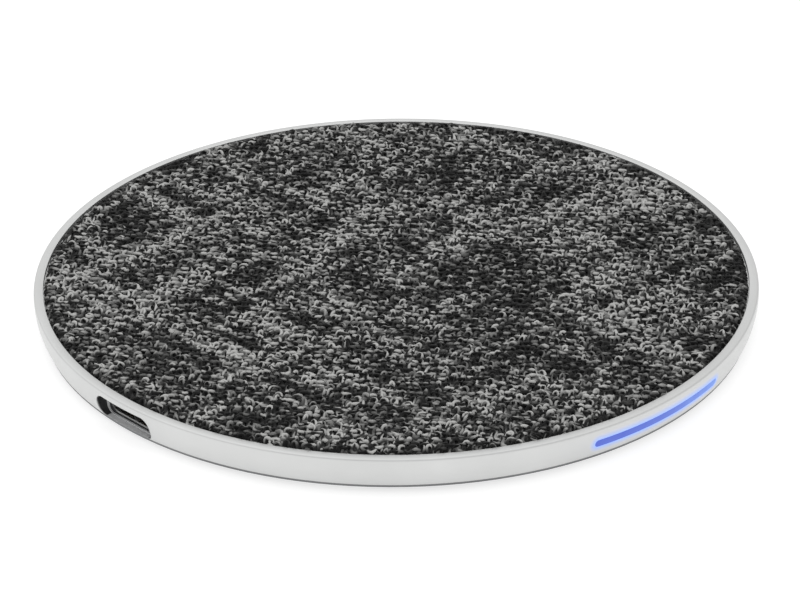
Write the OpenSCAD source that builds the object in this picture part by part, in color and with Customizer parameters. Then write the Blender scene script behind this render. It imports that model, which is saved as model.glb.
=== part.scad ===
// Round wireless charging pad: knitted fabric top, metal edge ring, charging coil and electronics.
// Millimetres, +Z up. Origin: centre of the resting plane, under the foot ring.
// The light window faces -Y and the charging port faces -X.

/* [Body] */
// Outside diameter of the pad
pad_d = 100; // [98:1:108]
// How far the foot ring stands proud of the base
foot_proud = 0.8; // [0.5:0.1:1.2]
// Height of the base rim that shows under the edge ring
rim_h = 0.35; // [0.35:0.05:0.5]
// Height of the metal edge ring
ring_h = 4.23; // [4.2:0.01:4.4]
// How far the fabric stands above the edge ring
fabric_proud = 0.47; // [0.45:0.01:0.6]

/* [Light window] */
// Length of the lit arc, in degrees
light_arc = 27; // [15:1:40]
// Height of the light window
light_h = 1.07; // [0.7:0.01:1.2]

/* [Port] */
// Width of the port cut-out in the edge ring
port_w = 10.6; // [10.2:0.1:11.2]
// How far the connector mouth sits behind the edge ring
port_recess = 2.15; // [2.05:0.05:2.25]

/* [Charging coil] */
// Number of turns
coil_turns = 10; // [7:1:10]
// Thickness of the wire bundle
coil_wire_d = 1.0; // [0.8:0.05:1.0]
// Distance from one turn to the next
coil_pitch = 1.12; // [1.08:0.01:1.14]

/* [Hidden] */
$fn = 64;
gap = 0.05; // working clearance between neighbouring pieces
cut = 1;    // how far a cutting shape reaches past what it cuts

// Radii of the shell, from the outside in
pad_r = pad_d / 2;
base_r = pad_r - 1.0;
lip_r = pad_r - 1.3;
fabric_r = lip_r - 0.1;
plate_r = fabric_r - 0.6;
ring_in_r = pad_r - 2.4;
base_in_r = ring_in_r - 0.1;
board_r = pad_r - 4.2;

// Heights of the shell, from the bottom up
z_base = foot_proud;
z_rim = z_base + rim_h;
z_floor = z_base + 1.2;
z_ring_top = z_rim + ring_h;
z_ledge = z_ring_top - 0.63;
z_fabric_top = z_ring_top + fabric_proud;
fabric_t = 0.65;
film_t = 0.1;
z_plate_top = z_fabric_top - fabric_t - film_t;
z_plate = z_plate_top - 0.7;

// Edge ring section: a shallow bulge, widest near the top, and a rounded outer edge
wall_curve_r = 7.45;
wall_widest_z = z_rim + 3.55;
ring_edge_r = 0.3;
wall_center = [pad_r - wall_curve_r, wall_widest_z];
edge_z = z_ring_top - ring_edge_r;
edge_angle = asin((edge_z - wall_widest_z) / (wall_curve_r - ring_edge_r));
edge_center = wall_center + (wall_curve_r - ring_edge_r) * [cos(edge_angle), sin(edge_angle)];
wall_start = asin((z_rim - wall_widest_z) / wall_curve_r);
wall_steps = 10;
edge_steps = 6;

// Foot ring and the screws it hides
foot_w = 4;
foot_r = pad_r - 11.5;
foot_groove = 0.4;
screw_angles = [45, 135, 225, 315];
screw_head_r = 1.4;
screw_head_h = 0.5;
screw_r = 0.7;
z_screw_head = z_base + foot_groove + gap;
screw_len = z_plate - z_screw_head - 0.4;
boss_r = 2.9;
post_r = 2.2;
post_hole_z = z_plate - 0.1;

// Circuit board, a crescent round the coil
z_board = z_floor + 0.6;
board_t = 0.8;
z_parts = z_board + board_t;
board_in_r = 27.5;
board_from = 118;
board_sweep = 214;

// Light window
light_angle = 270;
light_z = z_rim + 2.05;
light_half = light_arc / 2 - asin(light_h / 2 / pad_r);

// Charging port: standard USB-C receptacle sizes
port_z0 = z_rim - 0.1;
port_z1 = z_rim + 3.35;
port_corner_r = 1.5;
mouth_x = -(pad_r - port_recess);
face_x = mouth_x + 0.1;
liner_t = 0.2;
liner_y = port_w / 2 - gap - liner_t;
liner_corner_r = port_corner_r - gap - liner_t;
shell_len = 6.5;
shell_t = 0.25;
shell_w = 8.34 + 2 * shell_t;
shell_h = 2.56 + 2 * shell_t;
shell_z = z_rim + 0.47 + shell_h / 2;
shell_back_x = mouth_x + shell_len;
shell_room = 0.2; // left free beside and behind the receptacle
insulator_x = shell_back_x - 1.5;
tongue_w = 6.69;
tongue_t = 0.7;
tongue_setback = 0.75;
contact_setback = 0.6;
contact_pitch = 0.5;
contacts_per_side = 12;
collar_setback = 0.85;

// Coil stack in the middle
ferrite_r = 25;
ferrite_t = 0.8;
z_ferrite = z_floor + film_t;
z_coil = z_ferrite + ferrite_t + gap + coil_wire_d / 2;
coil_in_r = 10.25 + coil_wire_d / 2;
coil_out_r = coil_in_r + coil_turns * coil_pitch;
lead_angle = 225;
lead_w = 0.7;
lead_slot_w = 1.2;
inner_lead_y = -0.5;
outer_lead_y = 1.4;
lead_pad_r = board_in_r + 2.6;

// ---------- helpers ----------

function arc_points(c, r, a0, a1, steps) =
    [for (i = [0:steps]) c + r * [cos(a0 + (a1 - a0) * i / steps), sin(a0 + (a1 - a0) * i / steps)]];

function wall_points() = concat(
    arc_points(wall_center, wall_curve_r, wall_start, edge_angle, wall_steps),
    arc_points(edge_center, ring_edge_r, edge_angle, 90, edge_steps));

module disc(r, z0, z1) {
    translate([0, 0, z0])
        cylinder(r = r, h = z1 - z0);
}

module band(r0, r1, z0, z1) {
    difference() {
        disc(r1, z0, z1);
        disc(r0, z0 - cut, z1 + cut);
    }
}

// Part of a band, from angle a0 over the given sweep
module band_sector(r0, r1, z0, z1, a0, sweep) {
    rotate(a0)
        rotate_extrude(angle = sweep)
            translate([r0, z0])
                square([r1 - r0, z1 - z0]);
}

// Children moved out to radius r at angle a, their X axis pointing outwards
module at_polar(a, r, z = 0) {
    rotate(a)
        translate([r, 0, z])
            children();
}

module at_screws() {
    for (a = screw_angles)
        at_polar(a, foot_r)
            children();
}

module block(x0, x1, y, z0, z1) {
    translate([x0, -y, z0])
        cube([x1 - x0, 2 * y, z1 - z0]);
}

// A flat shape drawn in the YZ plane, extruded from x0 to x1
module along_x(x0, x1, z = 0) {
    translate([x0, 0, z])
        rotate([90, 0, 90])
            linear_extrude(x1 - x0)
                children();
}

module stadium(w, h) {
    square([w - h, h], center = true);
    for (s = [-1, 1])
        translate([s * (w - h) / 2, 0])
            circle(d = h);
}

module rounded_rect(w, z0, z1, r) {
    translate([-w / 2, z0 + r])
        square([w, z1 - z0 - 2 * r]);
    translate([-w / 2 + r, z0])
        square([w - 2 * r, z1 - z0]);
    for (s = [-1, 1], z = [z0 + r, z1 - r])
        translate([s * (w / 2 - r), z])
            circle(r);
}

// Long slot with round ends that follows the edge ring
module arc_slot(h, half, r0, r1) {
    rotate(light_angle) {
        band_sector(r0, r1, light_z - h / 2, light_z + h / 2, -half, 2 * half);
        for (s = [-1, 1])
            at_polar(s * half, r0, light_z)
                rotate([0, 90, 0])
                    cylinder(d = h, h = r1 - r0);
    }
}

// A chip or other boxed component on the board, turned to face outwards
module chip(a, r, along, across, h, lift = 0.05) {
    at_polar(a, r, z_parts + lift)
        translate([-across / 2, -along / 2, 0])
            cube([across, along, h]);
}

// ---------- shell ----------

module fabric_cover() {
    edge_r = 0.45;
    color([0.28, 0.28, 0.28])
        rotate_extrude()
            polygon(concat(
                [[0, z_fabric_top - fabric_t],
                 [plate_r + gap / 2, z_fabric_top - fabric_t],
                 [plate_r + gap / 2, z_ledge + gap],
                 [fabric_r, z_ledge + gap]],
                arc_points([fabric_r - edge_r, z_fabric_top - edge_r], edge_r, 0, 90, edge_steps),
                [[0, z_fabric_top]]));
}

module fabric_adhesive() {
    color([0.85, 0.83, 0.72])
        disc(plate_r, z_plate_top, z_plate_top + film_t);
}

module top_plate() {
    color([0.16, 0.16, 0.17])
        difference() {
            union() {
                disc(base_in_r, z_plate, z_plate_top);
                disc(plate_r, z_ledge, z_plate_top);
                at_screws()
                    disc(post_r, z_board + gap, z_plate + gap);
            }
            at_screws()
                disc(screw_r + gap / 2, z_board, post_hole_z);
            block(-ring_in_r, shell_back_x + shell_room, shell_w / 2 + shell_room,
                z_plate - cut, shell_z + shell_h / 2 + 2 * gap);
        }
}

module ring_bezel() {
    color([0.82, 0.83, 0.82])
        difference() {
            rotate_extrude($fn = 180)
                polygon(concat(
                    [[ring_in_r, z_rim]],
                    wall_points(),
                    [[lip_r, z_ring_top], [lip_r, z_ledge], [ring_in_r, z_ledge]]));
            arc_slot(light_h, light_half, ring_in_r - cut, pad_r + cut);
            along_x(-pad_r - cut, -ring_in_r + cut)
                rounded_rect(port_w, port_z0, port_z1, port_corner_r);
            block(mouth_x - shell_room, -ring_in_r + cut, shell_w / 2 + shell_room, port_z1 - cut, z_ledge);
        }
}

// Low sill across the port recess with an upright rib at each side, which steadies the surround
module port_frame() {
    frame_t = 0.25;
    rib_w = 0.3;
    sill_h = 0.12;
    frame_x = face_x - gap - frame_t;
    rib_y = liner_y - gap;
    rib_corner_r = liner_corner_r - gap;
    along_x(frame_x, frame_x + frame_t)
        difference() {
            rounded_rect(2 * rib_y, z_rim + gap, port_z1 - liner_t - 2 * gap, rib_corner_r);
            rounded_rect(2 * (rib_y - rib_w), z_rim + sill_h, port_z1 + cut, rib_corner_r - rib_w);
        }
    block(frame_x, frame_x + frame_t, rib_y - rib_corner_r, z_rim - gap, z_rim + sill_h);
}

module base_plate() {
    seat_r = ferrite_r + 0.3;
    color([0.6, 0.61, 0.62]) {
        port_frame();
        difference() {
            union() {
                disc(base_r, z_base, z_rim);
                disc(base_in_r, z_base, z_floor);
                band(seat_r, seat_r + 1, z_floor - gap, z_board);
                at_screws()
                    disc(boss_r, z_floor - gap, z_board);
            }
            band(foot_r - foot_w / 2 - gap, foot_r + foot_w / 2 + gap, z_base - cut, z_base + foot_groove);
            at_screws() {
                disc(screw_head_r + 0.1, z_base, z_screw_head + screw_head_h);
                disc(screw_r + gap, z_base, z_board + cut);
            }
            block(-pad_r, -board_r, port_w / 2 + gap, z_rim, z_board + cut);
            block(-pad_r, shell_back_x + shell_room, shell_w / 2 + shell_room,
                shell_z - shell_h / 2 - gap, z_board + cut);
            rotate(lead_angle)
                block(ferrite_r, ferrite_r + 2, 2.5, z_floor, z_board + cut);
        }
    }
}

module foot_ring() {
    edge_r = 0.3;
    r0 = foot_r - foot_w / 2;
    r1 = foot_r + foot_w / 2;
    z1 = z_base + foot_groove - film_t;
    color([0.2, 0.2, 0.21])
        rotate_extrude()
            polygon(concat(
                arc_points([r0 + edge_r, edge_r], edge_r, 180, 270, edge_steps),
                arc_points([r1 - edge_r, edge_r], edge_r, 270, 360, edge_steps),
                [[r1, z1], [r0, z1]]));
}

module foot_adhesive() {
    color([0.85, 0.83, 0.72])
        band(foot_r - foot_w / 2, foot_r + foot_w / 2, z_base + foot_groove - film_t, z_base + foot_groove);
}

module case_screws() {
    slot_w = 0.35;
    slot_deep = 0.25;
    color([0.7, 0.7, 0.72])
        at_screws()
            difference() {
                union() {
                    disc(screw_head_r, z_screw_head, z_screw_head + screw_head_h);
                    disc(screw_r, z_screw_head, z_screw_head + screw_len);
                }
                block(-0.8, 0.8, slot_w / 2, z_screw_head - cut, z_screw_head + slot_deep);
                block(-slot_w / 2, slot_w / 2, 0.8, z_screw_head - cut, z_screw_head + slot_deep);
            }
}

module led_window() {
    flange_t = 0.9;
    flange_h = 1.4;
    color([0.6, 0.72, 1, 0.8]) {
        intersection() {
            arc_slot(light_h - gap, light_half, ring_in_r - 0.5, pad_r + cut);
            rotate_extrude($fn = 180)
                polygon(concat([[0, z_rim]], wall_points(), [[0, z_ring_top]]));
        }
        band_sector(ring_in_r - gap - flange_t, ring_in_r - gap,
            light_z - flange_h / 2, light_z + flange_h / 2,
            light_angle - light_arc / 2 - 1, light_arc + 2);
    }
}

// The ring's outer wall moved inwards, from just above the rim to the top plate
function liner_points(inset) =
    [for (p = wall_points()) if (p[1] > z_rim + 2 * gap && p[1] < z_plate) p - [inset, 0]];

module port_surround() {
    liner_inset = 0.1;
    side = port_w / 2 - gap;
    color([0.17, 0.17, 0.18]) {
        difference() {
            intersection() {
                along_x(-pad_r, face_x + gap)
                    rounded_rect(2 * side, port_z0, port_z1 - gap, port_corner_r - gap);
                rotate_extrude($fn = 180)
                    polygon(concat(
                        [[0, z_rim + gap], [wall_points()[0][0] - liner_inset, z_rim + gap]],
                        liner_points(liner_inset),
                        [[0, z_plate]]));
            }
            along_x(-pad_r - cut, face_x + cut)
                rounded_rect(2 * liner_y, z_rim, port_z1 + cut, liner_corner_r);
        }
        difference() {
            along_x(face_x, -board_r - 0.2)
                rounded_rect(2 * side, z_rim + gap, min(z_plate, port_z1) - gap, port_corner_r - gap);
            along_x(face_x - cut, -board_r + cut, shell_z)
                stadium(shell_w + 2 * gap, shell_h + 2 * gap);
        }
    }
}

// ---------- charging port connector ----------

module usb_shell() {
    tab = [1, 1, shell_t];
    tab_reach = 0.35;
    color([0.78, 0.78, 0.77]) {
        along_x(mouth_x, shell_back_x, shell_z)
            difference() {
                stadium(shell_w, shell_h);
                stadium(shell_w - 2 * shell_t, shell_h - 2 * shell_t);
            }
        for (s = [-1, 1], x = [shell_back_x - 1.5, shell_back_x - 3.4])
            translate([x, s * (shell_w / 2 + tab_reach) - tab[1] / 2, z_parts])
                cube(tab);
    }
}

module usb_tongue() {
    color([0.06, 0.06, 0.06]) {
        along_x(insulator_x, shell_back_x - 0.15, shell_z)
            stadium(shell_w - 2 * shell_t - gap, shell_h - 2 * shell_t - gap);
        block(mouth_x + tongue_setback, insulator_x + gap, tongue_w / 2,
            shell_z - tongue_t / 2, shell_z + tongue_t / 2);
    }
}

module usb_contacts() {
    contact_len = 3.4;
    contact_w = 0.25;
    contact_t = 0.04;
    x0 = mouth_x + tongue_setback + contact_setback;
    color([0.9, 0.75, 0.4])
        for (i = [0:contacts_per_side - 1], s = [-1, 1])
            translate([x0, (i - (contacts_per_side - 1) / 2) * contact_pitch - contact_w / 2,
                       shell_z + s * (tongue_t / 2 + contact_t / 2) - contact_t / 2])
                cube([contact_len, contact_w, contact_t]);
}

module usb_ground_collar() {
    collar_t = 0.04;
    w = shell_w - 2 * shell_t - 0.02;
    h = shell_h - 2 * shell_t - 0.02;
    color([0.85, 0.85, 0.84])
        along_x(mouth_x + collar_setback, insulator_x - gap, shell_z)
            difference() {
                stadium(w, h);
                stadium(w - 2 * collar_t, h - 2 * collar_t);
            }
}

// ---------- charging coil ----------

// A two-centre spiral: each half turn is a half ring, the next one shifted by half a pitch
module transmit_coil() {
    color([0.72, 0.42, 0.2])
        rotate(lead_angle)
            for (i = [0:coil_turns - 1]) {
                half_turn(0, coil_in_r + i * coil_pitch, 0);
                half_turn(coil_pitch / 2, coil_in_r + (i + 0.5) * coil_pitch, 180);
            }
}

module half_turn(x, r, a) {
    translate([x, 0, z_coil])
        rotate(a)
            rotate_extrude(angle = 180)
                translate([r, 0])
                    circle(d = coil_wire_d, $fn = 32);
}

// A flat-sided insulated lead from p to q, running a little past q to close the bend
module lead_run(p, q, w) {
    v = q - p;
    flat = norm([v[0], v[1]]);
    translate(p)
        rotate([0, -atan2(v[2], flat), atan2(v[1], v[0])])
            translate([0, -w / 2, -w / 2])
                cube([norm(v) + w / 4, w, w]);
}

// The inner end dives under the coil through the ferrite slot; both ends rise onto the board
module coil_leads() {
    z_low = z_ferrite + lead_w / 2 + 0.02;
    z_high = z_parts + lead_w / 2 + 0.1;
    under_x = coil_in_r - 1.2;
    rise_from = coil_out_r + 1;
    rise_to = board_in_r - 0.2;
    color([0.55, 0.16, 0.12])
        rotate(lead_angle) {
            lead_run([coil_in_r, -lead_w / 2 - gap, z_coil], [under_x, inner_lead_y, z_low], lead_w);
            lead_run([under_x, inner_lead_y, z_low], [rise_from, inner_lead_y, z_low], lead_w);
            lead_run([rise_from, inner_lead_y, z_low], [rise_to, inner_lead_y, z_high], lead_w);
            lead_run([rise_to, inner_lead_y, z_high], [lead_pad_r, inner_lead_y, z_high], lead_w);
            lead_run([coil_out_r, lead_w / 2 + gap, z_coil], [rise_from + 0.5, outer_lead_y, z_coil], lead_w);
            lead_run([rise_from + 0.5, outer_lead_y, z_coil], [rise_to, outer_lead_y, z_high], lead_w);
            lead_run([rise_to, outer_lead_y, z_high], [lead_pad_r, outer_lead_y, z_high], lead_w);
        }
}

module lead_slot(z0, z1) {
    rotate(lead_angle)
        translate([coil_in_r - 2.2, inner_lead_y - lead_slot_w / 2, z0])
            cube([ferrite_r, lead_slot_w, z1 - z0]);
}

module ferrite_shield() {
    color([0.24, 0.23, 0.22])
        difference() {
            disc(ferrite_r, z_ferrite, z_ferrite + ferrite_t);
            lead_slot(z_ferrite - cut, z_ferrite + ferrite_t + cut);
        }
}

module ferrite_adhesive() {
    color([0.85, 0.83, 0.72])
        difference() {
            disc(ferrite_r - 0.5, z_floor, z_ferrite);
            lead_slot(z_floor - cut, z_ferrite + cut);
        }
}

module solder_joints() {
    color([0.75, 0.76, 0.78])
        rotate(lead_angle)
            for (y = [inner_lead_y, outer_lead_y])
                translate([lead_pad_r + lead_w + 0.3, y, z_parts])
                    cylinder(r1 = 0.65, r2 = 0.35, h = 0.5, $fn = 32);
}

// ---------- electronics ----------

module circuit_board() {
    color([0.05, 0.3, 0.16])
        difference() {
            band_sector(board_in_r, board_r, z_board, z_parts, board_from, board_sweep);
            block(-pad_r, shell_back_x + shell_room, shell_w / 2 + 2 * gap, z_board - cut, z_parts + cut);
            at_screws()
                disc(post_r + 0.15, z_board - cut, z_parts + cut);
        }
}

module controller_chip() {
    color([0.08, 0.08, 0.09])
        chip(248, 36, 5, 5, 0.75);
}

module protocol_chip() {
    color([0.08, 0.08, 0.09])
        chip(198, 39, 3, 3, 0.7);
}

module bridge_mosfets() {
    color([0.1, 0.1, 0.1])
        for (i = [0:3])
            chip(206 + 5.5 * (i % 2), 32.5 + 4 * floor(i / 2), 2.4, 2.4, 0.75);
}

module resonant_capacitors() {
    color([0.72, 0.6, 0.45])
        for (i = [0:3])
            chip(236 - 3.6 * (i % 2), 33.2 + 4 * floor(i / 2), 1.6, 3.2, 0.85);
}

module power_inductor() {
    color([0.2, 0.2, 0.21])
        difference() {
            chip(165, 37, 4, 4, 0.85);
            at_polar(165, 37, z_parts + 0.75)
                band(1.3, 1.5, 0, cut);
        }
}

module crystal_can() {
    color([0.8, 0.8, 0.8])
        chip(258, 36.5, 3.2, 2.5, 0.65);
}

module thermistor() {
    color([0.1, 0.1, 0.1])
        chip(219, 29, 0.8, 1.6, 0.6);
}

module smd_passives() {
    color([0.62, 0.52, 0.4]) {
        for (i = [0:4])
            chip(146 + 3 * i, 41.5, 0.6, 1.1, 0.5);
        for (i = [0:3])
            chip(186 + 3.2 * i, 35, 0.6, 1.1, 0.5);
        for (i = [0:5])
            chip(240 + 3 * i, 41, 0.6, 1.1, 0.5);
        for (i = [0:3])
            chip(276 + 3.5 * i, 34, 0.6, 1.1, 0.5);
    }
}

module status_leds() {
    color([0.9, 0.9, 0.85])
        for (i = [-1:1])
            chip(light_angle + 8 * i, board_r - 0.5, 2.2, 0.9, 0.6);
}

module led_driver() {
    color([0.08, 0.08, 0.09])
        chip(light_angle, 38.5, 2.9, 1.6, 0.8);
}

fabric_cover();
fabric_adhesive();
top_plate();
ring_bezel();
led_window();
port_surround();
base_plate();
foot_ring();
foot_adhesive();
case_screws();
usb_shell();
usb_tongue();
usb_contacts();
usb_ground_collar();
transmit_coil();
coil_leads();
ferrite_shield();
ferrite_adhesive();
solder_joints();
circuit_board();
controller_chip();
protocol_chip();
bridge_mosfets();
resonant_capacitors();
power_inductor();
crystal_can();
thermistor();
smd_passives();
status_leds();
led_driver();
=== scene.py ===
"""Wireless charging pad: a knitted heather top, a satin metal edge ring with a lit slot and a charging port.

Everything is in metres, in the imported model's frame: +Z up, the light slot towards -Y, the port towards -X.
"""

import math

import bmesh
import bpy
import numpy as np
from mathutils import Matrix, Vector


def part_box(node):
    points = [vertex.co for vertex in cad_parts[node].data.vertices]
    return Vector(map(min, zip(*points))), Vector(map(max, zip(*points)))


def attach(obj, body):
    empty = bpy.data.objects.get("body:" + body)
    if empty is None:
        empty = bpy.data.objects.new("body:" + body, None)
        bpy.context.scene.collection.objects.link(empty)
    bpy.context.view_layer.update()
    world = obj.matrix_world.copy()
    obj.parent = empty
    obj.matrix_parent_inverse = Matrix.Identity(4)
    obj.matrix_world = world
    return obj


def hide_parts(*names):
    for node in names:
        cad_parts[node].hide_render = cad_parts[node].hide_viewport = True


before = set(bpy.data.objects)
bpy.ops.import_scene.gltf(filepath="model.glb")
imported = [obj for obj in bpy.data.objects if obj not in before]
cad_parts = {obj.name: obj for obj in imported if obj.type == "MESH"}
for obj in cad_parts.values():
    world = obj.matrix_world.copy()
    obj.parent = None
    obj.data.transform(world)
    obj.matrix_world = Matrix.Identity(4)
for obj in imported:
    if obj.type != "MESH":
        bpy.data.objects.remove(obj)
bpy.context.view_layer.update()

MM = 0.001

# ---------- sizes read from the frame ----------

ring_low, ring_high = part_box("ring_bezel")
fabric_low, fabric_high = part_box("fabric_cover")

PAD_R = ring_high.x
RING_BOTTOM = ring_low.z
RING_TOP = ring_high.z
FABRIC_R = fabric_high.x
FABRIC_BOTTOM = fabric_low.z
FABRIC_TOP = fabric_high.z
ADHESIVE_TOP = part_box("fabric_adhesive")[1].z
PLATE_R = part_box("top_plate")[1].x
BASE_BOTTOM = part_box("base_plate")[0].z
WINDOW_REACH_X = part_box("led_window")[1].x
SHELL_MOUTH_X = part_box("usb_shell")[0].x

# ---------- sizes that repeat the CAD model's ----------

WALL_CURVE_R = 7.45 * MM
WALL_WIDEST_Z = RING_BOTTOM + 3.55 * MM
EDGE_R = 0.3 * MM
LIP_R = PAD_R - 1.3 * MM
LEDGE_Z = RING_TOP - 0.63 * MM
RING_INNER_R = PAD_R - 2.4 * MM

SLOT_H = 1.07 * MM
SLOT_Z = RING_BOTTOM + 2.05 * MM
LIGHT_HALF = 13.5  # degrees either side of -Y, with the slot's round ends
SLOT_HALF = LIGHT_HALF - math.degrees(math.asin(SLOT_H / 2 / PAD_R))

PORT_W = 10.6 * MM
PORT_LOW = RING_BOTTOM - 0.1 * MM
PORT_HIGH = RING_BOTTOM + 3.35 * MM
PORT_CORNER_R = 1.5 * MM
SHELL_W = 8.84 * MM
SHELL_ROOM = 0.2 * MM


# ---------- small helpers ----------


def new_object(name, mesh):
    obj = bpy.data.objects.new(name, mesh)
    bpy.context.scene.collection.objects.link(obj)
    return obj


def mesh_object(name, verts, faces, smooth=True):
    mesh = bpy.data.meshes.new(name)
    mesh.from_pydata([tuple(v) for v in verts], [], [tuple(f) for f in faces])
    mesh.polygons.foreach_set("use_smooth", [smooth] * len(mesh.polygons))
    mesh.update()
    return new_object(name, mesh)


def arc(center, radius, start, end, steps):
    """Points on an arc from start to end, in degrees, as (r, z) pairs."""
    angles = np.radians(np.linspace(start, end, steps + 1))
    return [(center[0] + radius * math.cos(a), center[1] + radius * math.sin(a)) for a in angles]


def revolve(name, profile, steps, closed=True):
    """Turns (r, z) points about Z. A closed profile makes a solid ring."""
    n = len(profile)
    verts, faces = [], []
    for k in range(steps):
        a = 2 * math.pi * k / steps
        verts += [(r * math.cos(a), r * math.sin(a), z) for r, z in profile]
    last = n if closed else n - 1
    for k in range(steps):
        here, there = k * n, (k + 1) % steps * n
        faces += [(here + i, there + i, there + (i + 1) % n, here + (i + 1) % n) for i in range(last)]
    return mesh_object(name, verts, faces)


def bake(obj):
    """Applies the object's modifiers."""
    graph = bpy.context.evaluated_depsgraph_get()
    mesh = bpy.data.meshes.new_from_object(obj.evaluated_get(graph))
    obj.modifiers.clear()
    obj.data = mesh
    return mesh


def settle(obj, smooth_angle=35):
    """Applies the object's modifiers and smooths all but its sharp edges."""
    mesh = bake(obj)
    mesh.polygons.foreach_set("use_smooth", [True] * len(mesh.polygons))
    mesh.set_sharp_from_angle(angle=math.radians(smooth_angle))
    mesh.update()


def outward(obj):
    """Turns every face of a closed mesh to face out."""
    bm = bmesh.new()
    bm.from_mesh(obj.data)
    bmesh.ops.recalc_face_normals(bm, faces=bm.faces)
    bm.to_mesh(obj.data)
    bm.free()
    return obj


def ease_edges(obj, width=0.06 * MM):
    """Rounds an object's sharp edges a little, so that they catch the light."""
    bevel = obj.modifiers.new("bevel", "BEVEL")
    bevel.width = width
    bevel.segments = 2
    bevel.limit_method = "ANGLE"
    bevel.angle_limit = math.radians(40)


def cut_away(obj, cutters):
    """Takes the cutters' shapes out of an object, and the cutters out of the scene."""
    for cutter in cutters:
        mod = obj.modifiers.new("cut", "BOOLEAN")
        mod.operation = "DIFFERENCE"
        mod.solver = "EXACT"
        mod.object = cutter
    bake(obj)
    for cutter in cutters:
        bpy.data.objects.remove(cutter)


# ---------- materials ----------


class Shader:
    """A node material built step by step."""

    def __init__(self, name):
        self.mat = bpy.data.materials.new(name)
        self.mat.use_nodes = True
        self.tree = self.mat.node_tree
        self.bsdf = self.tree.nodes["Principled BSDF"]
        self.coords = self.tree.nodes.new("ShaderNodeTexCoord").outputs["Object"]

    def set(self, **values):
        for key, value in values.items():
            self.bsdf.inputs[key.replace("_", " ")].default_value = value

    def node(self, kind, **props):
        made = self.tree.nodes.new(kind)
        for key, value in props.items():
            setattr(made, key, value)
        return made

    def link(self, source, target):
        self.tree.links.new(source, target)

    def feed(self, value, socket):
        """Gives a socket a number, or another socket's output."""
        if isinstance(value, (int, float)):
            socket.default_value = value
        else:
            self.link(value, socket)

    def math(self, operation, *values):
        made = self.node("ShaderNodeMath", operation=operation)
        for value, socket in zip(values, made.inputs):
            self.feed(value, socket)
        return made.outputs[0]

    def parts(self, vector):
        made = self.node("ShaderNodeSeparateXYZ")
        self.link(vector, made.inputs[0])
        return made.outputs

    def attribute(self, name):
        """The three parts of a vector stored on the mesh's points."""
        return self.parts(self.node("ShaderNodeAttribute", attribute_name=name).outputs["Vector"])

    def split(self):
        """The x, y and z of the surface point, in the object's own frame."""
        return self.parts(self.coords)

    def noise(self, scale, detail=3.0, rough=0.6, stretch=(1, 1, 1)):
        mapping = self.node("ShaderNodeMapping")
        mapping.inputs["Scale"].default_value = stretch
        self.link(self.coords, mapping.inputs["Vector"])
        made = self.node("ShaderNodeTexNoise")
        made.inputs["Scale"].default_value = scale
        made.inputs["Detail"].default_value = detail
        made.inputs["Roughness"].default_value = rough
        self.link(mapping.outputs["Vector"], made.inputs["Vector"])
        return made.outputs["Fac"]

    def ramp(self, fac, *stops):
        """stops are (position, colour) pairs."""
        made = self.node("ShaderNodeValToRGB")
        elements = made.color_ramp.elements
        while len(elements) < len(stops):
            elements.new(0.5)
        for element, (position, colour) in zip(elements, stops):
            element.position = position
            element.color = (*colour, 1)
        self.link(fac, made.inputs["Fac"])
        return made.outputs["Color"]

    def mix(self, fac, first, second, blend="MIX"):
        """The colour first, blended with second. fac is a number or a socket."""
        made = self.node("ShaderNodeMix", data_type="RGBA", blend_type=blend)
        self.feed(fac, made.inputs["Factor"])
        self.link(first, made.inputs["A"])
        self.link(second, made.inputs["B"])
        return made.outputs["Result"]

    def spread(self, fac, low, high):
        """fac from 0..1 to low..high."""
        made = self.node("ShaderNodeMapRange")
        made.inputs["To Min"].default_value = low
        made.inputs["To Max"].default_value = high
        self.link(fac, made.inputs["Value"])
        return made.outputs["Result"]

    def colour(self, source):
        self.link(source, self.bsdf.inputs["Base Color"])

    def roughness(self, source):
        self.link(source, self.bsdf.inputs["Roughness"])

    def bump(self, height, distance, strength=1.0):
        made = self.node("ShaderNodeBump")
        made.inputs["Distance"].default_value = distance
        made.inputs["Strength"].default_value = strength
        self.link(height, made.inputs["Height"])
        normal = self.bsdf.inputs["Normal"]
        if normal.links:
            self.link(normal.links[0].from_socket, made.inputs["Normal"])
        self.link(made.outputs["Normal"], normal)


def moulded_plastic(name, dark, light, rough, grain_mm=0.12):
    """Spark-textured moulded plastic with faint cloudy wear."""
    s = Shader(name)
    s.set(Specular_IOR_Level=0.4)
    cloud = s.noise(60, 3)
    s.colour(s.ramp(cloud, (0.3, dark), (0.7, light)))
    s.roughness(s.spread(s.noise(350, 4), rough - 0.08, rough + 0.08))
    s.bump(s.noise(1 / (grain_mm * MM), 2), 0.02 * MM, 0.6)
    return s.mat


def base_plastic():
    """Spark-textured grey plastic, paler inside the port recess as painted light."""
    s = Shader("base_plastic")
    s.set(Specular_IOR_Level=0.4)
    x, y, z = s.split()
    depth = 2 * MM  # of the pale floor, past the shell's mouth
    in_depth = s.math("LESS_THAN", x, SHELL_MOUTH_X + depth)
    in_width = s.math("LESS_THAN", s.math("ABSOLUTE", y), PORT_W / 2)
    on_floor = s.math("GREATER_THAN", z, RING_BOTTOM - 0.02 * MM)
    painted_light_mask = s.math("MULTIPLY", s.math("MULTIPLY", in_depth, in_width), on_floor)
    # Painted light and shade on one plastic: the paler grey on the port floor is painted light, and the dark
    # grey on the rim under the ring is painted shade for the gap there.
    cloud = s.noise(60, 3)
    rim = s.ramp(cloud, (0.3, (0.16, 0.163, 0.167)), (0.7, (0.19, 0.194, 0.198)))
    recess = s.ramp(cloud, (0.3, (0.55, 0.555, 0.56)), (0.7, (0.62, 0.625, 0.63)))
    s.colour(s.mix(painted_light_mask, rim, recess))
    s.roughness(s.spread(s.noise(350, 4), 0.4, 0.56))
    s.bump(s.noise(8300, 2), 0.02 * MM, 0.6)
    return s.mat


SPILL = 0.95 * MM  # how far the slot's light reaches over the metal


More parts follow.
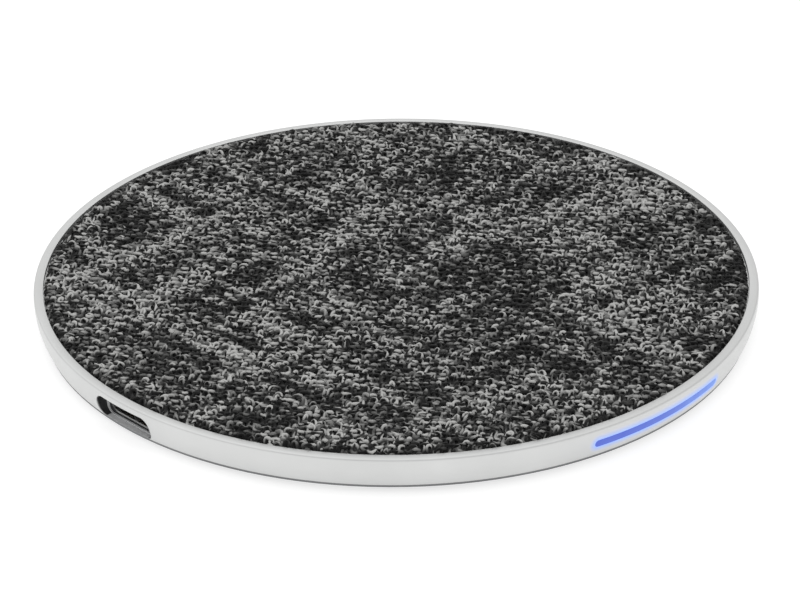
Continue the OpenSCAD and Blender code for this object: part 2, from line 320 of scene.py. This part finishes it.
def satin_metal():
    """Bead-blasted, clear-anodised ring: pale, nearly matte, with fine grain and the slot's spilt light."""
    s = Shader("ring_satin")
    s.set(Metallic=0.85, Specular_IOR_Level=0.5)
    metal = s.ramp(s.noise(90, 2), (0.3, (0.62, 0.625, 0.62)), (0.7, (0.66, 0.665, 0.66)))
    s.roughness(s.spread(s.noise(700, 3), 0.38, 0.46))
    s.bump(s.noise(9000, 2), 0.004 * MM, 0.35)
    x, y, z = s.split()
    angle = s.math("ARCTAN2", x, s.math("MULTIPLY", y, -1.0))
    past_end = s.math("SUBTRACT", s.math("ABSOLUTE", angle), math.radians(SLOT_HALF))
    across = s.math("MAXIMUM", s.math("MULTIPLY", past_end, PAD_R), 0.0)
    height = s.math("SUBTRACT", z, SLOT_Z)
    squares = s.math("ADD", s.math("MULTIPLY", across, across), s.math("MULTIPLY", height, height))
    # 0 on the slot's middle line, 1 where its light ends
    away = s.math("MULTIPLY", s.math("SQRT", squares), 1 / (SLOT_H / 2 + SPILL))
    # Painted light: round the slot the metal glows blue and its colour turns bluer, for the slot's light
    # spilling over it.
    glow = s.ramp(away, (0.36, (0.04, 0.10, 0.55)), (0.62, (0.01, 0.03, 0.25)), (1.0, (0.0, 0.0, 0.0)))
    s.link(glow, s.bsdf.inputs["Emission Color"])
    painted_slot_light = s.ramp(away, (0.36, (0.62, 0.8, 1.0)), (0.9, (1.0, 1.0, 1.0)))
    s.colour(s.mix(1.0, metal, painted_slot_light, "MULTIPLY"))
    s.set(Emission_Strength=0.8)
    return s.mat


def lit_window():
    """Milky light guide, lit from behind by blue lamps, a little paler towards one end."""
    s = Shader("window_lit")
    s.set(Roughness=0.4, Emission_Strength=1.0, Specular_IOR_Level=0.3)
    s.colour(s.ramp(s.noise(80, 2), (0.0, (0.02, 0.03, 0.2)), (1.0, (0.03, 0.05, 0.25))))
    along = s.math("ADD", s.math("MULTIPLY", s.split()[0], 0.5 / WINDOW_REACH_X), 0.5)
    cloudy = s.math("MULTIPLY", s.math("SUBTRACT", s.noise(420, 2), 0.5), 0.5)
    place = s.math("ADD", along, cloudy)
    glow = s.ramp(place, (0.0, (0.065, 0.105, 0.42)), (0.6, (0.09, 0.15, 0.45)), (1.0, (0.13, 0.25, 0.58)))
    s.link(glow, s.bsdf.inputs["Emission Color"])
    s.bump(s.noise(5000, 2), 0.002 * MM, 0.3)
    return s.mat


def steel(name, colour, rough, streak=(1, 1, 1)):
    """Stamped or turned steel with fine directional streaks."""
    s = Shader(name)
    s.set(Metallic=1.0)
    dim = tuple(c * 0.86 for c in colour)
    s.colour(s.ramp(s.noise(900, 3, stretch=streak), (0.3, dim), (0.7, colour)))
    s.roughness(s.spread(s.noise(1500, 3, stretch=streak), rough - 0.08, rough + 0.1))
    s.bump(s.noise(6000, 2, stretch=streak), 0.003 * MM, 0.4)
    return s.mat


def silicone():
    """Soft foot ring: near black, matte, with dust caught in its surface."""
    s = Shader("foot_silicone")
    s.set(Specular_IOR_Level=0.3)
    s.colour(s.ramp(s.noise(120, 5), (0.35, (0.035, 0.035, 0.037)), (0.75, (0.07, 0.07, 0.072))))
    s.roughness(s.spread(s.noise(500, 3), 0.62, 0.8))
    s.bump(s.noise(4000, 3), 0.01 * MM, 0.5)
    return s.mat


def coloured(name, dark, light, rough, metallic=0.0, scale=600, bump_mm=0.006, emission=None):
    """Two mixed tones with varied roughness and a fine bump, for the inner pieces."""
    s = Shader(name)
    s.set(Metallic=metallic)
    s.colour(s.ramp(s.noise(scale, 3), (0.35, dark), (0.65, light)))
    s.roughness(s.spread(s.noise(scale * 2, 3), max(rough - 0.1, 0.05), rough + 0.1))
    s.bump(s.noise(scale * 6, 2), bump_mm * MM, 0.5)
    if emission:
        s.set(Emission_Color=(*emission, 1), Emission_Strength=2.0)
    return s.mat


PLY_TWIST = 3.2 * MM  # length of one full twist
# From the darkest ply to the palest, linear colour
YARN_TONES = (
    (0.0, (0.005, 0.005, 0.005)),
    (0.35, (0.03, 0.03, 0.029)),
    (0.65, (0.21, 0.21, 0.205)),
    (1.0, (0.53, 0.53, 0.517)),
)


def two_ply_yarn(name):
    """A pale and a dark ply twisted together, with fine fibres over them.

    The attribute "around" holds the cosine and sine of the angle about the yarn and the length along it,
    and "plies" holds how pale each ply is there.
    """
    s = Shader(name)
    s.set(Specular_IOR_Level=0.2, Sheen_Weight=0.08, Sheen_Roughness=0.5, Roughness=0.85)
    cosine, sine, length = s.attribute("around")
    pale, dark, _ = s.attribute("plies")
    phase = s.math("MULTIPLY", length, 2 * math.pi / PLY_TWIST)
    facing = s.math("ADD", s.math("MULTIPLY", cosine, s.math("COSINE", phase)),
                    s.math("MULTIPLY", sine, s.math("SINE", phase)))
    soft = 0.6
    blend = s.node("ShaderNodeMapRange", interpolation_type="SMOOTHSTEP")
    blend.inputs["From Min"].default_value = -soft
    blend.inputs["From Max"].default_value = soft
    s.link(facing, blend.inputs["Value"])
    s.link(dark, blend.inputs["To Min"])
    s.link(pale, blend.inputs["To Max"])
    fibre = s.math("MULTIPLY", s.math("SUBTRACT", s.noise(5200, 3, 0.7), 0.5), 0.2)
    s.colour(s.ramp(s.math("ADD", blend.outputs["Result"], fibre), *YARN_TONES))
    s.bump(s.math("ABSOLUTE", facing), 0.03 * MM, 0.8)
    s.bump(s.noise(9000, 3, 0.7), 0.03 * MM, 0.7)
    return s.mat


def paint(obj, mat):
    obj.data.materials.clear()
    obj.data.materials.append(mat)


# ---------- edge ring ----------


def wall_profile(steps):
    """The ring's outer wall from its foot to the middle of its top edge, as in the CAD model."""
    center = (PAD_R - WALL_CURVE_R, WALL_WIDEST_Z)
    reach = WALL_CURVE_R - EDGE_R
    start = math.degrees(math.asin((RING_BOTTOM - center[1]) / WALL_CURVE_R))
    turn = math.degrees(math.asin((RING_TOP - EDGE_R - center[1]) / reach))
    a = math.radians(turn)
    edge = (center[0] + reach * math.cos(a), center[1] + reach * math.sin(a))
    return arc(center, WALL_CURVE_R, start, turn, steps) + arc(edge, EDGE_R, turn, 90, steps // 2)[1:]


def slot_cutter():
    """A curved bar through the ring wall, with half-round ends, lofted section by section."""
    end = math.degrees(SLOT_H / 2 / PAD_R)
    end_steps, middle_steps = 12, 20
    first_turn = 4  # degrees, so that the first section has some height
    turns = [math.radians(first_turn + (90 - first_turn) * i / end_steps) for i in range(end_steps + 1)]
    left = [(-SLOT_HALF - end * math.cos(t), SLOT_H / 2 * math.sin(t)) for t in turns]
    middle = [(SLOT_HALF * i / middle_steps, SLOT_H / 2) for i in range(1 - middle_steps, middle_steps)]
    right = [(-angle, half) for angle, half in reversed(left)]
    inner, outer = RING_INNER_R - MM, PAD_R + MM
    verts = []
    for angle, half in left + middle + right:
        a = math.radians(angle - 90)
        for r, z in ((inner, -half), (outer, -half), (outer, half), (inner, half)):
            verts.append((r * math.cos(a), r * math.sin(a), SLOT_Z + z))
    last = len(verts) - 4
    faces = [(0, 3, 2, 1), (last, last + 1, last + 2, last + 3)]
    for k in range(0, last, 4):
        faces += [(k + i, k + (i + 1) % 4, k + 4 + (i + 1) % 4, k + 4 + i) for i in range(4)]
    return outward(mesh_object("slot_cutter", verts, faces))


def rounded_outline(width, low, high, radius, steps=10):
    """(y, z) points of a rounded rectangle."""
    points = []
    corners = ((1, low, -90), (1, high, 0), (-1, high, 90), (-1, low, 180))
    for side, z, start in corners:
        inward = radius if z == low else -radius
        center = (side * (width / 2 - radius), z + inward)
        points += arc(center, radius, start, start + 90, steps)
    return points


def prism_x(name, outline, x0, x1):
    """A (y, z) outline extruded along X."""
    n = len(outline)
    verts = [(x, y, z) for x in (x0, x1) for y, z in outline]
    sides = [(i, n + i, n + (i + 1) % n, (i + 1) % n) for i in range(n)]
    ends = [range(n), range(n, 2 * n)[::-1]]
    return outward(mesh_object(name, verts, sides + ends))


def build_ring():
    """The metal ring with its light slot, port cut-out and room for the connector shell."""
    profile = [(RING_INNER_R, RING_BOTTOM), *wall_profile(16)]
    profile += [(LIP_R, RING_TOP), (LIP_R, LEDGE_Z), (RING_INNER_R, LEDGE_Z)]
    ring = revolve("edge_ring", profile, steps=720)
    inside = -RING_INNER_R + MM
    opening = rounded_outline(PORT_W, PORT_LOW, PORT_HIGH, PORT_CORNER_R)
    port = prism_x("port_cutter", opening, -PAD_R - MM, inside)
    room = rounded_outline(SHELL_W + 2 * SHELL_ROOM, PORT_HIGH - MM, LEDGE_Z, 0.1 * MM, 2)
    relief = prism_x("relief_cutter", room, SHELL_MOUTH_X - SHELL_ROOM, inside)
    cut_away(ring, [port, relief, slot_cutter()])
    ease_edges(ring, 0.07 * MM)
    settle(ring)
    paint(ring, satin_metal())
    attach(ring, "root")
    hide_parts("ring_bezel")
    return ring


# ---------- knitted cover ----------

STITCH_W = 1.16 * MM
STITCH_H = 1.32 * MM
LEAN = 0.17
REACH = 0.58
YARN_R = 0.235 * MM
RELIEF = 0.16 * MM  # rise of a loop's head and foot, and fall of its legs
LIFT = 0.07 * MM  # typical random rise of a loop
LIFT_LIMIT = 1.4  # most random rise, in lifts
YARN_SIDES = 6
POINTS_PER_STITCH = 16
TONES_PER_STITCH = 2.4
PALE_PLY = 0.88
DARK_PLY = 0.2
PLY_SPREAD = 0.24
# Painted shade: how much darker both plies are on the loops' legs, which sink between heads and feet
LEG_PAINTED_SHADE = 0.3

EDGE_BEND_R = 0.5 * MM
YARN_CENTER_Z = FABRIC_TOP - YARN_R - RELIEF - 0.1 * MM
FLAT_R = FABRIC_R - YARN_R - EDGE_BEND_R - RELIEF
SKIRT = 0.35 * MM
CLOTH_R = FLAT_R + EDGE_BEND_R * math.pi / 2 + SKIRT
KNIT_ANGLE = math.radians(44)


def value_noise(x, y, cell, rng, size=256):
    """Smooth noise from 0 to 1 at points x, y, with features about cell across."""
    grid = rng.random((size, size))
    u, v = x / cell, y / cell
    i, j = np.floor(u).astype(int), np.floor(v).astype(int)
    fu, fv = u - i, v - j
    fu, fv = fu * fu * (3 - 2 * fu), fv * fv * (3 - 2 * fv)
    a, b = grid[i % size, j % size], grid[(i + 1) % size, j % size]
    c, d = grid[i % size, (j + 1) % size], grid[(i + 1) % size, (j + 1) % size]
    return (a * (1 - fu) + b * fu) * (1 - fv) + (c * (1 - fu) + d * fu) * fv


def bend_down(flat, height):
    """Folds flat cloth points over the pad's rounded edge. height is above the yarn's middle surface."""
    r = np.hypot(flat[:, 0], flat[:, 1])
    turn = np.clip((r - FLAT_R) / EDGE_BEND_R, 0, math.pi / 2)
    past = np.clip(r - FLAT_R - EDGE_BEND_R * math.pi / 2, 0, None)
    out_r = np.where(r < FLAT_R, r, FLAT_R + (EDGE_BEND_R + height) * np.sin(turn))
    z = YARN_CENTER_Z - EDGE_BEND_R + (EDGE_BEND_R + height) * np.cos(turn) - past
    scale = out_r / np.maximum(r, 1e-9)
    return np.column_stack([flat[:, 0] * scale, flat[:, 1] * scale, z])


def knit_rows():
    """The centreline of each course of yarn: flat points, heights, ply tones and thickness.

    Loops lean outwards by LEAN and reach REACH above and below the course, as shares of a stitch.
    """
    rng = np.random.default_rng(7)
    rows = int(2 * CLOTH_R / STITCH_H) + 5
    margin = 2 * MM
    result = []
    for row in range(rows):
        y0 = (row - (rows - 1) / 2) * STITCH_H
        half = math.sqrt(max(CLOTH_R**2 - (abs(y0) - margin) ** 2, 0))
        first = math.floor(-half / STITCH_W) - 1
        last = math.ceil(half / STITCH_W) + 1
        count = (last - first) * POINTS_PER_STITCH + 1
        u = np.linspace(first, last, count)
        t = 2 * math.pi * u
        loops = np.arange(first - 1, last + 1.01, 0.5)

        def wander(size):
            """One random value for each head and foot of a loop, eased between them."""
            return np.interp(u, loops, rng.normal(0, size, len(loops)))

        x = STITCH_W * (u + LEAN * np.sin(2 * t) * (1 + wander(0.5)) + wander(0.15))
        y = y0 + STITCH_H * (-REACH * np.cos(t) * (1 + wander(0.25)) + wander(0.22))
        z = RELIEF * np.cos(2 * t) + LIFT * np.clip(wander(1), -LIFT_LIMIT, LIFT_LIMIT)
        run = np.linspace(0, (last - first) * TONES_PER_STITCH, count)
        knots = np.arange(0, run[-1] + 1)
        # Painted shade: both plies are darkened on the legs, which lie deeper than the heads and feet.
        leg_painted_shade = LEG_PAINTED_SHADE * np.sin(t) ** 2
        pale = np.interp(run, knots, rng.normal(PALE_PLY, PLY_SPREAD, len(knots))) - leg_painted_shade
        dark = np.interp(run, knots, rng.normal(DARK_PLY, PLY_SPREAD, len(knots))) - leg_painted_shade
        fat = 1 + np.clip(wander(0.14), -0.3, 0.3)
        x, y = x + drift(x, y, 40), y + drift(x, y, 50)
        result.append((x, y, z, np.column_stack([pale, dark]), fat))
    return result


def drift(x, y, seed):
    """How far the cloth was pulled out of square when it was glued down, up to half of pull each way."""
    pull = 1.1 * MM
    return pull * (value_noise(x, y, 17 * MM, np.random.default_rng(seed)) - 0.5)


def streaks(x, y, degrees, seed):
    """Patches of noise five times as long as wide, lying at an angle to the courses."""
    a = math.radians(degrees)
    along, across = x * math.cos(a) + y * math.sin(a), y * math.cos(a) - x * math.sin(a)
    return value_noise(along / 5, across, 2.3 * MM, np.random.default_rng(seed))


def shade(x, y):
    """How much paler than average the yarn is, in patches and in streaks across the courses both ways."""
    blobs = value_noise(x, y, 9 * MM, np.random.default_rng(21)) - 0.5
    flecks = value_noise(x, y, 2.2 * MM, np.random.default_rng(24)) - 0.5
    usual = 0.62  # about the mean of the larger of two streaks
    streak = np.maximum(streaks(x, y, 42, 22), streaks(x, y, -44, 23)) - usual
    return 0.18 * blobs + 0.22 * flecks + streak


def shaded_plies(x, y, plies):
    """The tone of both plies, with painted shade making them a little darker where the cloth is turned down
    round the edge.
    """
    band = 0.8 * MM
    turned = np.clip((np.hypot(x, y) - FLAT_R + band) / (EDGE_BEND_R + band), 0, 1)
    # Painted shade: the plies darken over the band where the cloth turns down into the gap by the ring.
    return np.clip(plies + (shade(x, y) - 0.4 * turned)[:, None], 0, 1)


def tube(points, radius, plies):
    """One strand of yarn: its vertices, faces, end caps and the two attributes that its material reads."""
    n, sides = len(points), YARN_SIDES
    along = np.gradient(points, axis=0)
    along /= np.linalg.norm(along, axis=1)[:, None]
    side = np.cross([0.0, 0.0, 1.0], along)
    side /= np.maximum(np.linalg.norm(side, axis=1)[:, None], 1e-9)
    up = np.cross(along, side)
    angles = 2 * math.pi * np.arange(sides) / sides
    cos, sin = np.cos(angles), np.sin(angles)
    ring = side[:, None] * cos[None, :, None] + up[:, None] * sin[None, :, None]
    verts = (points[:, None] + radius[:, None, None] * ring).reshape(-1, 3)
    i = np.arange(n - 1)[:, None] * sides
    j = np.arange(sides)[None, :]
    k = (j + 1) % sides
    faces = np.stack([i + j, i + k, i + sides + k, i + sides + j], axis=-1).reshape(-1, 4)
    caps = [list(range(sides))[::-1], list(range((n - 1) * sides, n * sides))]
    length = np.concatenate([[0], np.cumsum(np.linalg.norm(np.diff(points, axis=0), axis=1))])
    around = np.column_stack([np.tile(cos, n), np.tile(sin, n), np.repeat(length, sides)])
    tones = np.column_stack([np.repeat(plies, sides, axis=0), np.zeros(n * sides)])
    return verts, faces, caps, around, tones


def yarn_mesh(name, strands):
    verts, quads, caps, around, plies = zip(*strands)
    starts = np.cumsum([0] + [len(v) for v in verts])
    faces = np.concatenate([q + start for q, start in zip(quads, starts)]).tolist()
    for ends, start in zip(caps, starts):
        faces += [[start + i for i in cap] for cap in ends]
    mesh = bpy.data.meshes.new(name)
    mesh.from_pydata(np.concatenate(verts).tolist(), [], faces)
    mesh.polygons.foreach_set("use_smooth", [True] * len(mesh.polygons))
    for key, values in (("around", around), ("plies", plies)):
        attribute = mesh.attributes.new(key, "FLOAT_VECTOR", "POINT")
        attribute.data.foreach_set("vector", np.concatenate(values).astype(np.float32).ravel())
    mesh.update()
    return new_object(name, mesh)


def build_knit(bands=8):
    """The cover's yarn, as a few pieces side by side across the pad."""
    cos, sin = math.cos(KNIT_ANGLE), math.sin(KNIT_ANGLE)
    strands = []
    for x, y, z, plies, fat in knit_rows():
        flat = np.column_stack([x, y])
        inside = np.hypot(x, y) < CLOTH_R
        ids = np.flatnonzero(inside)
        if len(ids) < POINTS_PER_STITCH / 2:
            continue
        lo, hi = ids[0], ids[-1] + 1
        flat, z, plies = flat[lo:hi], z[lo:hi], shaded_plies(x, y, plies)[lo:hi]
        turned_x = flat[:, 0] * cos + flat[:, 1] * sin
        turned_y = flat[:, 1] * cos - flat[:, 0] * sin
        points = bend_down(np.column_stack([turned_x, turned_y]), z)
        strands.append(tube(points, YARN_R * fat[lo:hi], plies))
    mat = two_ply_yarn("heather_yarn")
    pieces = []
    share = math.ceil(len(strands) / bands)
    for b in range(bands):
        piece = yarn_mesh(f"knit_yarn_{b + 1}", strands[b * share:(b + 1) * share])
        paint(piece, mat)
        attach(piece, "root")
        pieces.append(piece)
    return pieces


def build_ground():
    """A near-black disc under the stitches, painted shade for the gaps between the loops, with its edge
    turned down round the top plate.
    """
    bend = 0.12 * MM
    skirt_r = PLATE_R + 0.1 * MM
    top = ADHESIVE_TOP + 0.04 * MM
    flat_rings = 60
    rings = [((skirt_r - bend) * i / flat_rings, top) for i in range(1, flat_rings)]
    rings += arc((skirt_r - bend, top - bend), bend, 90, 0, 6)
    rings += [(skirt_r, FABRIC_BOTTOM + 0.1 * MM)]
    steps = 256
    verts = [(0, 0, top)]
    faces = []
    for r, z in rings:
        verts += [(r * math.cos(2 * math.pi * k / steps), r * math.sin(2 * math.pi * k / steps), z)
                  for k in range(steps)]
    beside = [(k, (k + 1) % steps) for k in range(steps)]
    faces += [(0, 1 + k, 1 + m) for k, m in beside]
    for i in range(len(rings) - 1):
        here, there = 1 + i * steps, 1 + (i + 1) * steps
        faces += [(here + k, there + k, there + m, here + m) for k, m in beside]
    ground = mesh_object("knit_ground", verts, faces)
    # Painted shade: the sheet is near black, standing for the shade in the gaps between the loops.
    s = Shader("knit_gaps_painted_shade")
    s.set(Specular_IOR_Level=0.2, Roughness=0.95)
    s.colour(s.ramp(s.noise(900, 4), (0.3, (0.006, 0.006, 0.006)), (0.7, (0.02, 0.02, 0.02))))
    s.bump(s.noise(2500, 3), 0.05 * MM, 0.8)
    paint(ground, s.mat)
    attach(ground, "root")
    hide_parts("fabric_cover")
    return ground


# ---------- CAD nodes that keep their shape ----------


def dress_cad_nodes():
    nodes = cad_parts
    dark = moulded_plastic("inner_plastic", (0.022, 0.022, 0.024), (0.034, 0.034, 0.036), 0.5)
    shell = steel("shell_steel_fine", (0.62, 0.62, 0.61), 0.28, (1, 6, 6))
    tape = coloured("tissue_tape", (0.62, 0.58, 0.42), (0.72, 0.69, 0.54), 0.7)
    copper = coloured("litz_copper", (0.42, 0.17, 0.07), (0.62, 0.29, 0.13), 0.35, 1.0, 1800, 0.03)
    lamp = coloured("led_body", (0.7, 0.7, 0.66), (0.8, 0.8, 0.76), 0.4, emission=(0.1, 0.2, 1.0))
    chip = coloured("chip_epoxy", (0.02, 0.02, 0.02), (0.035, 0.035, 0.035), 0.55)
    ceramic = coloured("chip_ceramic_tan", (0.34, 0.24, 0.14), (0.44, 0.33, 0.21), 0.4)
    looks = {
        "top_plate": dark,
        "port_surround": coloured("surround_black", (0.018, 0.018, 0.019), (0.026, 0.026, 0.027), 0.3),
        "usb_tongue": coloured("tongue_black", (0.008, 0.008, 0.009), (0.014, 0.014, 0.015), 0.45),
        "base_plate": base_plastic(),
        "foot_ring": silicone(),
        "led_window": lit_window(),
        "case_screws": steel("screw_zinc", (0.55, 0.55, 0.56), 0.35, (6, 6, 1)),
        "usb_shell": shell,
        "usb_ground_collar": steel("collar_steel", (0.72, 0.72, 0.71), 0.25, (1, 6, 6)),
        "usb_contacts": coloured("gold_plate", (0.75, 0.52, 0.2), (0.83, 0.6, 0.25), 0.25, 1.0),
        "fabric_adhesive": tape,
        "foot_adhesive": tape,
        "ferrite_adhesive": tape,
        "transmit_coil": copper,
        "coil_leads": coloured("lead_silicone", (0.3, 0.03, 0.025), (0.42, 0.05, 0.04), 0.55),
        "ferrite_shield": coloured("ferrite_dark", (0.035, 0.033, 0.03), (0.06, 0.055, 0.05), 0.5),
        "solder_joints": coloured("solder_bright", (0.55, 0.56, 0.58), (0.7, 0.71, 0.73), 0.25, 1.0),
        "circuit_board": coloured("solder_mask", (0.012, 0.10, 0.045), (0.02, 0.15, 0.065), 0.35),
        "controller_chip": chip,
        "protocol_chip": chip,
        "bridge_mosfets": chip,
        "led_driver": chip,
        "thermistor": chip,
        "resonant_capacitors": ceramic,
        "smd_passives": ceramic,
        "power_inductor": coloured("inductor_core", (0.05, 0.05, 0.052), (0.09, 0.09, 0.092), 0.5),
        "crystal_can": steel("crystal_lid", (0.65, 0.65, 0.62), 0.3),
        "status_leds": lamp,
    }
    for name, mat in looks.items():
        paint(nodes[name], mat)
    for name in ("port_surround", "usb_shell", "base_plate"):
        ease_edges(nodes[name])


# ---------- camera, light and floor ----------

CAMERA_AZIMUTH = -43.9  # degrees from -Y, towards -X
CAMERA_ELEVATION = 28.5  # degrees
CAMERA_DISTANCE = 0.48  # metres
CAMERA_ROLL = -0.55  # degrees
LENS = 155.4  # millimetres
SHIFT_X = 0.0045  # shares of the picture's width
SHIFT_Y = 0.003
SKY_STRENGTH = 0.78
SUN_STRENGTH = 0.6
SUN_SPREAD = 90  # degrees
FLOOR_REACH = 3  # metres from the middle
FLOOR_GLOW = 0.66


def build_camera():
    data = bpy.data.cameras.new("camera")
    data.lens = LENS
    data.sensor_width = 36
    data.shift_x = SHIFT_X
    data.shift_y = SHIFT_Y
    cam = bpy.data.objects.new("camera", data)
    bpy.context.scene.collection.objects.link(cam)
    a, e = math.radians(CAMERA_AZIMUTH), math.radians(CAMERA_ELEVATION)
    back = Vector((math.sin(a) * math.cos(e), -math.cos(a) * math.cos(e), math.sin(e)))
    target = Vector((0, 0, BASE_BOTTOM))
    cam.location = target + back * CAMERA_DISTANCE
    turn = (-back).to_track_quat("-Z", "Y").to_matrix().to_4x4()
    cam.matrix_world = Matrix.Translation(cam.location) @ turn @ Matrix.Rotation(
        math.radians(CAMERA_ROLL), 4, "Z")
    bpy.context.scene.camera = cam


def camera_side(right, back, up):
    """A place given as right of, behind and above the pad as the camera sees it."""
    a = math.radians(CAMERA_AZIMUTH)
    ahead = Vector((-math.sin(a), math.cos(a), 0))
    across = Vector((math.cos(a), math.sin(a), 0))
    return across * right + ahead * back + Vector((0, 0, up))


def sun(name, right, back, up, strength, spread):
    """A far, soft lamp that shines from a place given as the camera sees it."""
    data = bpy.data.lights.new(name, "SUN")
    data.energy = strength
    data.angle = math.radians(spread)
    light = bpy.data.objects.new(name, data)
    bpy.context.scene.collection.objects.link(light)
    light.rotation_euler = camera_side(right, back, up).to_track_quat("Z", "Y").to_euler()


def build_studio():
    world = bpy.data.worlds.new("studio")
    world.use_nodes = True
    background = world.node_tree.nodes["Background"]
    background.inputs["Color"].default_value = (1, 1, 1, 1)
    background.inputs["Strength"].default_value = SKY_STRENGTH
    bpy.context.scene.world = world
    sun("top", -0.3, 0.3, 1.0, SUN_STRENGTH, SUN_SPREAD)
    corners = [(FLOOR_REACH * x, FLOOR_REACH * y, 0) for x, y in ((-1, -1), (1, -1), (1, 1), (-1, 1))]
    floor = mesh_object("floor", corners, [(0, 1, 2, 3)], smooth=False)
    s = Shader("floor_white")
    s.set(Specular_IOR_Level=0.0, Roughness=0.9, Emission_Color=(1, 1, 1, 1), Emission_Strength=FLOOR_GLOW)
    s.colour(s.ramp(s.noise(3, 2), (0.0, (0.5, 0.5, 0.5)), (1.0, (0.52, 0.52, 0.52))))
    paint(floor, s.mat)
    scene = bpy.context.scene
    scene.view_settings.view_transform = "Standard"
    scene.view_settings.look = "None"


build_camera()
build_studio()
dress_cad_nodes()
build_ring()
ground = build_ground()
knit = build_knit()
